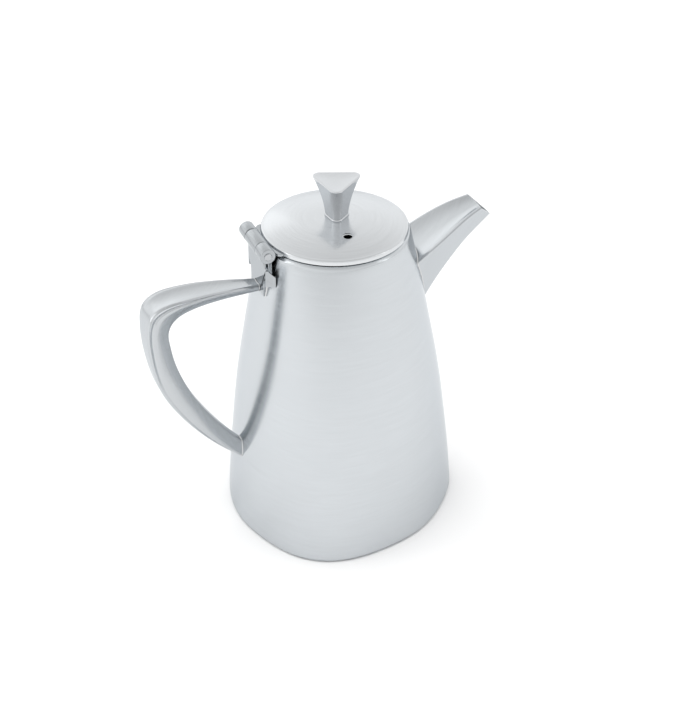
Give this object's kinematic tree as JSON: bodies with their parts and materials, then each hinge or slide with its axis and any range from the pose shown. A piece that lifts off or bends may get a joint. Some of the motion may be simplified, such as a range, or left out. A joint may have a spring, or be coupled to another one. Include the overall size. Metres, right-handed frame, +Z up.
{
  "type": "coffee pot",
  "caption": "Satin steel coffee pot with a rounded-triangle base, round hinged lid, flared triangular knob, triangular spout and a hollow triangular loop handle.",
  "frame": {"origin": "centre of the flat bottom, on the body's upright axis", "axes": "+Z up, +X towards the spout, -X towards the handle, +Y across the pot"},
  "size_m": [0.1983, 0.1264, 0.2],
  "materials": {
    "satin_steel": "satin brushed stainless steel",
    "polished_steel": "fine satin, nearly polished stainless steel",
    "bright_steel": "turned stainless steel"
  },
  "bodies": {
    "pot": {"body_shell": "satin_steel", "base_plate": "satin_steel", "spout_trough": "satin_steel", "spout_cover": "satin_steel", "handle_shell": "satin_steel", "handle_inner_strip": "satin_steel", "hinge_bracket": "satin_steel", "hinge_pin": "bright_steel"},
    "lid": {"lid_leaf": "satin_steel", "lid_cover": "satin_steel", "lid_skirt": "satin_steel", "knob": "polished_steel", "knob_washer": "bright_steel", "knob_screw": "bright_steel"}
  },
  "joints": [
    {"name": "lid_hinge", "type": "hinge", "parent": "pot", "child": "lid", "pos_m": [-0.0435, 0, 0.1724], "axis": [0, -1, 0], "range_deg": [0, 105]}
  ]
}
